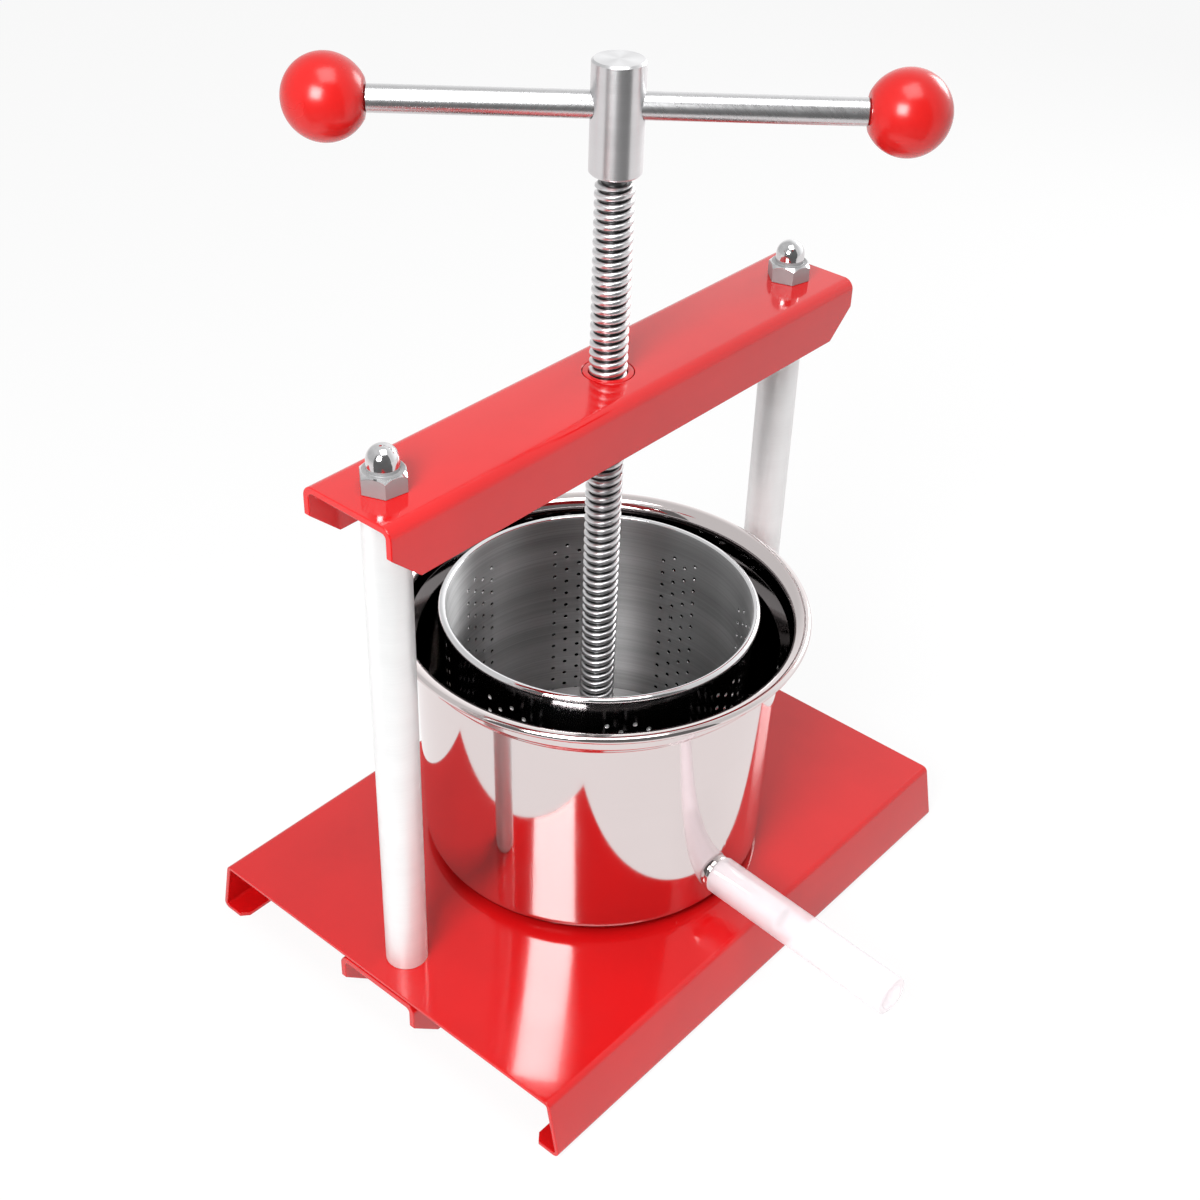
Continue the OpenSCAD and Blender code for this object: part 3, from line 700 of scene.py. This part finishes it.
class FRUITPRESS_OT_beams(bpy.types.Operator):
    """Make the two pressed beams, the upper one with a round hole for the screw bush"""

    bl_idname = "fruitpress.beams"
    bl_label = "Beams"

    def execute(self, context):
        s = sizes()
        half_sheet = s["beam_sheet"] / 2
        side, depth, half = BEAM_HIGH[1] - half_sheet, BEAM_HIGH[2] - BEAM_LOW[2], BEAM_HIGH[0]
        kink = s["beam_cut_height"] - depth
        right = [(side, -half_sheet), (side, kink), (side, -depth)]
        corners = [(-y, z) for y, z in right[::-1]] + right
        section = bent_sheet(corners, s["beam_bend"], s["beam_sheet"])

        def end(y, z):
            """Below the kink the end runs back in a straight line."""
            return half - np.maximum(kink - z, 0) * s["beam_cut_length"] / s["beam_cut_height"]

        solid = pressed(section, end, half - BEAM_INSET)
        low = moved(solid, 0, 0, span("lower_beam")[1][2])
        make_piece("press_lower_beam", low, "frame", "red_paint", "lower_beam", edge=s["paint_edge"])
        hole = cylinder(s["bush"] / 2 + s["bush_gap"], BEAM_HIGH[2] - 10, BEAM_HIGH[2] + 10)
        mesh = cut_round(moved(solid, 0, 0, BEAM_HIGH[2]), hole)
        finish_piece("press_top_beam", mesh, "frame", "red_paint", "top_beam", edge=s["paint_edge"])
        return {"FINISHED"}


class FRUITPRESS_OT_bush(bpy.types.Operator):
    """Make the screw bush, whose painted ring shows in the top beam"""

    bl_idname = "fruitpress.bush"
    bl_label = "Screw bush"

    def execute(self, context):
        s = sizes()
        r, top, low = s["bush"] / 2, BUSH_HIGH[2], BUSH_LOW[2]
        collar, bore, e = BUSH_HIGH[0], SCREW_HIGH[0] + SCREW_ROOM, 0.4
        face = top - s["beam_sheet"] - 0.1
        under = face + 0.1 - BUSH_COLLAR
        outline = np.array(
            [(bore, low + 0.8), (bore + 0.8, low), (r - e, low), (r, low + e), (r, under), (collar - e, under)]
            + [(collar, under + e), (collar, face), (r, face), (r, top - 0.5), (r - 0.15, top - 0.15)]
            + [(r - 0.5, top), (bore + 0.5, top), (bore + 0.1, top - 0.3), (bore, top - 0.9)]
        )
        make_piece("press_bush", turned(outline, 128, closed=True), "frame", "red_paint", "screw_bush", 35)
        return {"FINISHED"}


class FRUITPRESS_OT_columns(bpy.types.Operator):
    """Make the two satin column tubes"""

    bl_idname = "fruitpress.columns"
    bl_label = "Columns"

    def execute(self, context):
        s = sizes()
        r = (COLUMN_HIGH[0] - COLUMN_LOW[0]) / 2
        inner, top, e = r - s["column_wall"], COLUMN_HIGH[2], 0.3
        outline = np.array([(inner, 0), (r - e, 0), (r, e), (r, top - e), (r - e, top), (inner, top)])
        for side, sign in SIDES:
            tube = moved(turned(outline, 96, closed=True), sign * COLUMN_X, 0, 0)
            make_piece(f"press_column_{side}", tube, "frame", "satin_aluminium", f"column_{side}", 35)
        return {"FINISHED"}


class FRUITPRESS_OT_fasteners(bpy.types.Operator):
    """Make the cap nuts, and the nuts, washers and rods that hold the frame together"""

    bl_idname = "fruitpress.fasteners"
    bl_label = "Fasteners"

    def execute(self, context):
        for (side, sign), turn in zip(SIDES, NUT_TURNS):
            nut = moved(self.cap_nut(turn), sign * COLUMN_X, 0, BEAM_HIGH[2])
            make_piece(f"press_cap_nut_{side}", nut, "frame", "bright_chrome", f"cap_nut_{side}", 24)
            copy_of_node(f"press_hex_nut_{side}", "frame", "steel", f"hex_nut_{side}", 0.3, 25)
            copy_of_node(f"press_washer_{side}", "frame", "steel", f"washer_{side}", 0.2)
            copy_of_node(f"press_rod_{side}", "frame", "steel", f"tie_rod_{side}", 0.5)
        return {"FINISHED"}

    def cap_nut(self, turn):
        """Rows of a surface round Z. The hexagon's edge lies at flat / cos(t) from the axis, where t is the angle from
        the nearest flat's middle, and a cone of 45 degrees cuts its corners: height = nut height + chamfer - edge."""
        s = sizes()
        flat, high, dome, chamfer = s["nut_flats"] / 2, s["nut_height"], s["nut_dome"] / 2, s["nut_chamfer"]
        angles = np.radians(np.arange(0, 361, 3.0))
        edge = flat / np.cos(angles % (math.pi / 3) - math.pi / 6)
        bore = np.full_like(edge, s["nut_bore"] / 2)
        foot, top = 0.25, span("cap_nut_left")[1][2] - BEAM_HIGH[2]
        rows = [(bore, foot), (bore, 0), (edge - foot, 0), (edge, foot), (edge, high + chamfer - edge)]
        rows += [(np.full_like(edge, r), z) for r, z in ((chamfer, high), (dome + 0.15, high), (dome, high + 0.15))]
        rows += [(np.full_like(edge, r), z) for r, z in arc((0, top - dome), dome, 0, 90, 6)]
        grid = [np.stack([r * np.cos(angles), r * np.sin(angles), np.zeros_like(r) + z], 1) for r, z in rows]
        c, n = math.cos(math.radians(turn)), math.sin(math.radians(turn))
        return np.concatenate(grid) @ np.array([[c, n, 0], [-n, c, 0], [0, 0, 1]]), cells(len(rows), len(angles))


class FRUITPRESS_OT_screw(bpy.types.Operator):
    """Make the press screw with its rounded trapezoidal thread"""

    bl_idname = "fruitpress.screw"
    bl_label = "Press screw"

    def execute(self, context):
        s = sizes()
        r, low, high, c = SCREW_HIGH[0], SCREW_LOW[2], SCREW_HIGH[2], 1.5
        shoulder, neck = high - s["neck_height"], s["neck"] / 2
        outline = np.array([(r - c, low), (r, low + c), (r, shoulder - c), (r - c, shoulder)])
        rows = threaded(outline, s["thread_pitch"], s["thread_depth"], low, shoulder)
        steps = rows.shape[1]
        t = np.linspace(0, 2 * math.pi, steps)

        def ring(radius, z):
            return np.stack([radius * np.cos(t), radius * np.sin(t), np.full(steps, z)], 1)[None]

        grid = np.concatenate([ring(0, low), rows, ring(neck, shoulder), ring(neck, high), ring(0, high)])
        solid = grid.reshape(-1, 3), cells(len(grid), steps)
        make_piece("press_screw_thread", solid, "screw", "thread_steel", "press_screw", 50)
        return {"FINISHED"}


class FRUITPRESS_OT_hub(bpy.types.Operator):
    """Make the turned hub with its cross hole"""

    bl_idname = "fruitpress.hub"
    bl_label = "Hub"

    def execute(self, context):
        s = sizes()
        r, low, high, c = HUB_HIGH[0], HUB_LOW[2], HUB_HIGH[2], 0.8
        outline = np.array([(0, low), (r - c, low), (r, low + c), (r, high - c), (r - c, high), (0, high)])
        hole = along(cylinder(s["bar"] / 2 + BAR_ROOM, -20, 20, 72), BAR_ANGLE, BAR_Z)
        mesh = cut_round(turned(outline, 128), hole)
        finish_piece("press_hub", mesh, "screw", "turned_steel", "handle_hub", 32, 0.25)
        return {"FINISHED"}


class FRUITPRESS_OT_handle(bpy.types.Operator):
    """Make the tommy bar and its two ball knobs"""

    bl_idname = "fruitpress.handle"
    bl_label = "Handle"

    def execute(self, context):
        s = sizes()
        r, half = s["bar"] / 2, s["bar_length"] / 2
        stud = np.array([(0, half + STUD_LONG), (STUD_R, half + STUD_LONG), (STUD_R, half)])
        side = np.array([(r - 0.6, half), (r, half - 0.6), (r, 0)])
        outline = np.concatenate([stud, side, side[-2::-1] * [1, -1], stud[::-1] * [1, -1]])
        bar = along(turned(outline, 96), BAR_ANGLE, BAR_Z)
        make_piece("press_bar", bar, "handle", "bar_steel", "handle_bar", 32)
        ball, flat = s["knob"] / 2, s["knob_flat"]
        edge = math.degrees(math.acos(flat / ball))
        lip = math.sqrt(ball * ball - flat * flat)
        bottom, mouth = STUD_LONG + 1, STUD_R + 0.6
        hollow = np.array([(0, bottom), (STUD_R, bottom), (STUD_R, 0.5), (mouth, 0), (lip - 1.2, 0), (lip - 0.4, 0.12)])
        outline = np.concatenate([hollow, arc((0, flat), ball, -90 + edge + 2.5, 90, 4)])
        outline[-1, 0] = 0
        points, faces = turned(outline, 128)
        for side, sign in SIDES[::-1]:
            knob = along(((points + [0, 0, half]) * [1, 1, sign], faces), BAR_ANGLE, BAR_Z)
            make_piece(f"press_knob_{side}", knob, "handle", "red_plastic", f"knob_{side}")
        return {"FINISHED"}


class FRUITPRESS_OT_plate(bpy.types.Operator):
    """Make the press plate with its boss, pins and thrust disc"""

    bl_idname = "fruitpress.plate"
    bl_label = "Press plate"

    def execute(self, context):
        low, high, r, e = PLATE_LOW[2], PLATE_HIGH[2], PLATE_HIGH[0], 1.2
        rounded = np.concatenate([arc((r - e, low + e), e, -90, 0, 15), arc((r - e, high - e), e, 0, 90, 15)])
        outline = np.concatenate([[(0, low)], rounded, [(0, high)]])
        make_piece("press_disc", turned(outline, 160), "presser", "stainless", "press_plate", 35)
        copy_of_node("press_boss", "presser", "stainless", "plate_boss", 0.4)
        copy_of_node("press_pins", "presser", "steel", "boss_pins")
        copy_of_node("press_thrust_disc", "presser", "brass", "thrust_disc")
        return {"FINISHED"}


class FRUITPRESS_OT_basket(bpy.types.Operator):
    """Make the spun basket with its rolled rim and real holes"""

    bl_idname = "fruitpress.basket"
    bl_label = "Basket"

    def execute(self, context):
        s = sizes()
        t, rim = s["basket_sheet"], s["basket_rim"]
        wall = self.wall(BASKET_HIGH[0] - rim, t, BASKET_HIGH[2] - BASKET_LOW[2], rim, s["basket_hole"] / 2)
        make_piece("press_basket", moved(wall, 0, 0, BASKET_LOW[2]), "basket", "stainless", "basket")
        return {"FINISHED"}

    def wall(self, inner, t, height, rim, hole):
        """Two skins on one grid of even angles by a quarter of the holes' pitch. Each hole's cell of four by four is
        replaced by a patch that joins its square border to a circle, and a short tube joins the two circles."""
        count, edge = BASKET_STEPS, BASKET_EDGE
        rows = CELL * HOLE_ROWS + 2
        zs = height - HOLE_TOP + HOLE_PITCH / 2 - HOLE_PITCH / CELL * np.arange(rows + 1)
        start_angle = math.radians(HOLE_FIRST - HOLE_COLUMNS / 2 * HOLE_STEP)
        verts, polys, rings, first = [], [], [], 0
        for off, radius in ((-t / 2, inner), (t / 2, inner + t)):
            roll = arc((inner + rim / 2, height - rim / 2), (rim - t) / 2 - off, 180, -90, 12)
            curve = arc((inner + t - edge, edge), edge - t / 2 + off, 0, -90, 9)
            upright = np.stack([np.full(rows + 1, radius), zs], 1)
            outline = np.concatenate([roll[::-1], upright, curve, [[0.0, t / 2 - off]]])
            skin, quads = turned(outline, count, first=start_angle)
            row, column = np.divmod(np.arange(len(quads)), count)
            column = column % (count // HOLE_GROUPS)
            level = row - len(roll) - np.where((column // CELL) % 2 == 1, CELL // 2, 0)
            punched = (column < CELL * HOLE_COLUMNS) & (level >= 0) & (level < CELL * HOLE_ROWS)
            verts.append(skin)
            polys.append(quads[~punched] + first)
            rings.append(first + len(skin))
            ring, patch = self.patches(radius, hole, zs, start_angle, first + len(roll) * count, rings[-1])
            verts.append(ring)
            polys.append(patch)
            first = rings[-1] + len(ring)
        i = np.arange(HOLE_POINTS)
        base = (np.arange(HOLE_GROUPS * HOLE_COLUMNS * HOLE_ROWS) * HOLE_POINTS)[:, None]
        a, b = base + i, base + (i + 1) % HOLE_POINTS
        polys.append(np.stack([rings[0] + a, rings[0] + b, rings[1] + b, rings[1] + a], -1).reshape(-1, 4))
        a = np.arange(count)
        b, second = (a + 1) % count, len(verts[0]) + len(verts[1])
        polys.append(np.stack([a, b, b + second, a + second], 1))
        return np.concatenate(verts), np.concatenate(polys)

    def patches(self, radius, hole, zs, start_angle, skin_first, ring_first):
        """Circles, and the quads between each circle and the border of its cell. Down and right walk once round that
        border from the middle of its right side, and each circle's point lies in the direction of the border's point
        from the hole's middle."""
        group, column, row = np.indices((HOLE_GROUPS, HOLE_COLUMNS, HOLE_ROWS))
        left = (group * (BASKET_STEPS // HOLE_GROUPS) + column * CELL).ravel()
        top = (row * CELL + (column % 2) * (CELL // 2)).ravel()
        i = np.arange(HOLE_POINTS)
        down, right = (
            np.clip(np.abs((i + shift) % HOLE_POINTS - HOLE_POINTS // 2) - CELL // 2, 0, CELL) for shift in (CELL, 0)
        )
        outside = skin_first + (top[:, None] + down) * BASKET_STEPS + (left[:, None] + right) % BASKET_STEPS
        fine, unit, half = 2 * math.pi / BASKET_STEPS, zs[0] - zs[1], CELL / 2
        direction = np.arctan2((half - down) * unit, (right - half) * fine * radius)
        across = (start_angle + (left + half) * fine)[:, None] + hole * np.cos(direction) / radius
        up = (zs[0] - (top + half) * unit)[:, None] + hole * np.sin(direction)
        ring = np.stack([radius * np.cos(across), radius * np.sin(across), up], -1).reshape(-1, 3)
        after = (i + 1) % HOLE_POINTS
        inside = ring_first + (np.arange(len(left)) * HOLE_POINTS)[:, None] + i
        return ring, np.stack([outside[:, i], outside[:, after], inside[:, after], inside[:, i]], -1).reshape(-1, 4)


class FRUITPRESS_OT_pot(bpy.types.Operator):
    """Make the polished pot with its stepped, rolled rim"""

    bl_idname = "fruitpress.pot"
    bl_label = "Pot"

    def execute(self, context):
        s = sizes()
        hole = along(cylinder(s["spout"] / 2 - s["spout_wall"], 40, 120, 64), SPOUT_ANGLE, SPOUT_Z)
        mesh = cut_round(turned(pot_outline(), 256), hole)
        finish_piece("press_pot", mesh, "pot", "polished_steel", "pot")
        return {"FINISHED"}


def wall_radius(z):
    """Outer radius of the pot's slightly flared wall at a height."""
    return POT_TOP_R - (POT_HIGH[2] - POT_SHOULDER - z) * (POT_TOP_R - POT_LOW_R) / (POT_HIGH[2] - POT_EDGE)


def pot_shoulder():
    """Middle-line places of the pot's shoulder: the wall's and the collar's distance from the axis, the heights of the
    step's lower and upper bend, and the middle of the wide bend at the rim."""
    s = sizes()
    half, bend = s["pot_sheet"] / 2, s["pot_bend"]
    tilt = math.radians(STEP_TILT)
    edge_x, level_z = POT_HIGH[0] - s["pot_rim"] / 2, POT_HIGH[2] - half - s["pot_flare"]
    collar_x, step_top = edge_x - s["pot_flare"], level_z - s["pot_collar"]
    wall_x = wall_radius(step_top - s["pot_flare"]) - half
    run = collar_x - wall_x - 2 * bend * (1 - math.cos(tilt))
    step_low = step_top - 2 * bend * math.sin(tilt) - run / math.tan(tilt)
    return wall_x, collar_x, step_low, step_top, edge_x, level_z


def pot_lines():
    """Distance against height of the middle of the pot's wall, step and collar: each a slope and a start."""
    wall_x, collar_x, low, top, _, _ = pot_shoulder()
    wall = (wall_radius(1) - wall_radius(0), wall_radius(0) - sizes()["pot_sheet"] / 2)
    steep = (collar_x - wall_x) / (top - low)
    return wall, (steep, wall_x - steep * low), (0.0, collar_x)


def pot_outline():
    """The pot's section from below: floor, bottom bend, flared wall, a step outward at its tilt from upright with a
    bend at each end, an upright collar, and the edge bent level and rolled under."""
    s = sizes()
    half, bend, roll = s["pot_sheet"] / 2, s["pot_bend"], s["pot_rim"] / 2
    wall_x, collar_x, step_low, step_top, edge_x, level_z = pot_shoulder()
    bends = [
        ((wall_radius(POT_EDGE) - POT_EDGE, POT_EDGE), POT_EDGE - half, -90, 0),
        ((wall_x + bend, step_low), bend, 180, 180 - STEP_TILT),
        ((collar_x - bend, step_top), bend, -STEP_TILT, 0),
        ((edge_x, level_z), s["pot_flare"], 180, 90),
        ((edge_x, POT_HIGH[2] - roll), roll - half, 90, -150),
    ]
    return spun(bends, s["pot_sheet"])


class FRUITPRESS_OT_spout(bpy.types.Operator):
    """Make the drain spout with its ring, and the milky hose pushed over it"""

    bl_idname = "fruitpress.spout"
    bl_label = "Spout and hose"

    def execute(self, context):
        s = sizes()
        face, r, ring = wall_radius(SPOUT_Z), s["spout"] / 2, s["spout_ring"] / 2
        bore, foot, top, end = r - s["spout_wall"], face - 0.45, face + SPOUT_RING_HIGH, face + SPOUT_OUT
        outline = np.array(
            [(bore, foot), (ring, foot), (ring, top - 0.7), (ring - 0.25, top - 0.25), (ring - 0.7, top)]
            + [(r, top), (r, end - 0.4), (r - 0.4, end), (bore, end)]
        )
        spout = along(turned(outline, 96, closed=True), SPOUT_ANGLE, SPOUT_Z)
        make_piece("press_spout", spout, "pot", "polished_steel", "spout")
        outer, bore, stop = s["hose"] / 2, s["hose_bore"] / 2, top + s["hose_length"]
        e, tight = 0.7, r + 0.03
        outline = np.concatenate(
            [[(bore, end + 1), (tight, end + 0.6), (tight, top), (outer - e, top)]]
            + [arc((outer - e, top + e), e, -60, 0, 15)]
            + [arc((outer - e, stop - e), e, 0, 90, 15), arc((bore + e, stop - e), e, 90, 180, 15)]
        )
        hose = along(turned(outline, 96, closed=True), SPOUT_ANGLE, SPOUT_Z)
        make_piece("press_hose", hose, "pot", "milky_hose", "drain_hose")
        return {"FINISHED"}


class FRUITPRESS_OT_stage(bpy.types.Operator):
    """Make the pale floor, the soft lights and the camera"""

    bl_idname = "fruitpress.stage"
    bl_label = "Stage"

    def execute(self, context):
        self.floor()
        self.dim_side()
        self.world()
        self.lights()
        self.camera()
        context.scene.view_settings.view_transform = "Standard"
        return {"FINISHED"}

    def seen_as_white(self, tree):
        """One for rays from the camera, from gloss and through clear plastic, else zero."""
        path = node(tree, "LightPath")
        straight = math_node(tree, "MAXIMUM", path.outputs["Is Camera Ray"], path.outputs["Is Glossy Ray"])
        return math_node(tree, "MAXIMUM", straight, path.outputs["Is Transmission Ray"])

    def dim_side(self):
        """The dark end of the studio, behind the photographer: a tall curved screen and the floor in front of it.
        Only gloss sees them, so they give metal its dark bands and take no light from the object."""
        near, far, step, top, low = 400, 1900, 800, 2200, BASE_LOW[2] + 1
        turn = np.radians(np.linspace(-52, 58, 17) + PHOTO_HEADING + 180)
        rings = [(near, low), (far, low), (far, step), (far * 0.8, top)]
        points = [(r * math.cos(a), r * math.sin(a), z) for r, z in rings for a in turn]
        mesh = mesh_of("dim side", points, cells(len(rings), len(turn)))
        mesh.shade_smooth()
        material = bpy.data.materials.new("Dim studio")
        tree, surface = emptied(material, "ShaderNodeOutputMaterial")
        tree.links.new(node(tree, "Emission", Color=WHITE, Strength=0.16).outputs[0], surface)
        mesh.materials.append(material)
        screen = added("dim_side", mesh)
        for ray in ("camera", "diffuse", "transmission", "volume_scatter", "shadow"):
            setattr(screen, "visible_" + ray, False)

    def floor(self):
        """A wide floor under the feet, white to the eye but for a soft share of the object's shadow. In gloss it
        is tinted a little pink: painted red light, bounced from the press."""
        square = [(x * FLOOR_HALF, y * FLOOR_HALF, BASE_LOW[2]) for x, y in ((-1, -1), (1, -1), (1, 1), (-1, 1))]
        mesh = mesh_of("floor", square, [(0, 1, 2, 3)])
        material = bpy.data.materials.new("Pale floor")
        tree, surface = emptied(material, "ShaderNodeOutputMaterial")
        matt = node(tree, "BsdfDiffuse", Color=colours()["floor"]).outputs[0]
        gloss = node(tree, "LightPath").outputs["Is Glossy Ray"]
        # Gloss sees the floor tinted pink, painted red bounce light.
        painted_red_bounce = shade_between(tree, gloss, WHITE, (0.99, 0.95, 0.95, 1))
        white = node(tree, "Emission", Color=painted_red_bounce, Strength=1.0).outputs[0]
        share = math_node(tree, "MULTIPLY", self.seen_as_white(tree), 0.88)
        mix = node(tree, "MixShader", i0=share, i1=matt, i2=white)
        tree.links.new(mix.outputs[0], surface)
        mesh.materials.append(material)
        added("floor", mesh)

    def world(self):
        """A white surround to the eye, and lower as light on the object. Gloss sees a screen that brightens towards
        the right of the photograph."""
        world = bpy.data.worlds.new("Studio surround")
        bpy.context.scene.world = world
        tree, surface = emptied(world, "ShaderNodeOutputWorld")
        direction = node(tree, "TexCoord").outputs["Generated"]
        right = math.radians(BRIGHT_HEADING)
        ahead = (math.cos(right), math.sin(right), 0)
        facing = node(tree, "VectorMath", {"operation": "DOT_PRODUCT"}, i0=direction, i1=ahead).outputs["Value"]
        mirrored = between(tree, eased(tree, facing, 0.3, 1.0), 0.72, 1.3)
        gloss = node(tree, "LightPath").outputs["Is Glossy Ray"]
        screen = math_node(tree, "MULTIPLY_ADD", gloss, math_node(tree, "SUBTRACT", mirrored, 1.0), 1.0)
        seen, lit = (node(tree, "Background", Color=WHITE, Strength=v).outputs[0] for v in (screen, 0.40))
        mix = node(tree, "MixShader", i0=self.seen_as_white(tree), i1=lit, i2=seen)
        tree.links.new(mix.outputs[0], surface)

    def lights(self):
        """Soft boxes where the ball knobs of the photograph mirror them: high on the left, low on the right and one
        overhead."""
        boxes = (
            ("left_box", (-800, -260, 760), 420, 11.0),
            ("right_box", (1100, -80, 620), 420, 4.5),
            ("top_box", (-150, -250, 1500), 800, 9.0),
        )
        for name, place, size, power in boxes:
            data = bpy.data.lights.new(name, "AREA")
            data.shape = "SQUARE"
            data.size = size * MM
            data.energy = power
            lamp = added(name, data)
            lamp.location = Vector(place) * MM
            lamp.rotation_euler = (Vector(LIT_POINT) * MM - lamp.location).to_track_quat("-Z", "Y").to_euler()

    def camera(self):
        """The photograph's camera, at its place and turned by its angles, all solved from the photograph's edges."""
        heading, pitch, roll = (math.radians(v) for v in (PHOTO_HEADING, PHOTO_PITCH, PHOTO_ROLL))
        ahead = Vector((math.cos(pitch) * math.cos(heading), math.cos(pitch) * math.sin(heading), -math.sin(pitch)))
        level = Vector((math.sin(heading), -math.cos(heading), 0))
        above = level.cross(ahead)
        right = level * math.cos(roll) + above * math.sin(roll)
        up = above * math.cos(roll) - level * math.sin(roll)
        data = bpy.data.cameras.new("camera")
        data.sensor_width = 36.0
        data.lens = PHOTO_LENS
        data.clip_start = 0.05
        data.clip_end = 20
        camera = added("camera", data)
        turn = Matrix((right, up, -ahead)).transposed().to_4x4()
        camera.matrix_world = Matrix.Translation(Vector(PHOTO_PLACE) * MM) @ turn
        bpy.context.scene.camera = camera


class FRUITPRESS_PT_panel(bpy.types.Panel):
    """The press's pieces, sizes and colours"""

    bl_label = "Fruit press"
    bl_idname = "FRUITPRESS_PT_panel"
    bl_space_type = "VIEW_3D"
    bl_region_type = "UI"
    bl_category = "Fruit press"

    def draw(self, context):
        for operator in OPERATORS:
            self.layout.operator(operator.bl_idname)
        for group in (context.scene.press_sizes, context.scene.press_colours):
            for name in type(group).__annotations__:
                self.layout.prop(group, name)


OPERATORS = (
    FRUITPRESS_OT_base,
    FRUITPRESS_OT_beams,
    FRUITPRESS_OT_bush,
    FRUITPRESS_OT_columns,
    FRUITPRESS_OT_fasteners,
    FRUITPRESS_OT_screw,
    FRUITPRESS_OT_hub,
    FRUITPRESS_OT_handle,
    FRUITPRESS_OT_plate,
    FRUITPRESS_OT_basket,
    FRUITPRESS_OT_pot,
    FRUITPRESS_OT_spout,
    FRUITPRESS_OT_stage,
)
CLASSES = (PressSizes, PressColours, *OPERATORS, FRUITPRESS_PT_panel)


def register():
    for item in CLASSES:
        bpy.utils.register_class(item)
    bpy.types.Scene.press_sizes = bpy.props.PointerProperty(type=PressSizes)
    bpy.types.Scene.press_colours = bpy.props.PointerProperty(type=PressColours)


def unregister():
    del bpy.types.Scene.press_colours
    del bpy.types.Scene.press_sizes
    for item in reversed(CLASSES):
        bpy.utils.unregister_class(item)


def main():
    """Registers the add-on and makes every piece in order."""
    register()
    for operator in OPERATORS:
        family, name = operator.bl_idname.split(".")
        getattr(getattr(bpy.ops, family), name)()


if __name__ == "__main__":
    main()
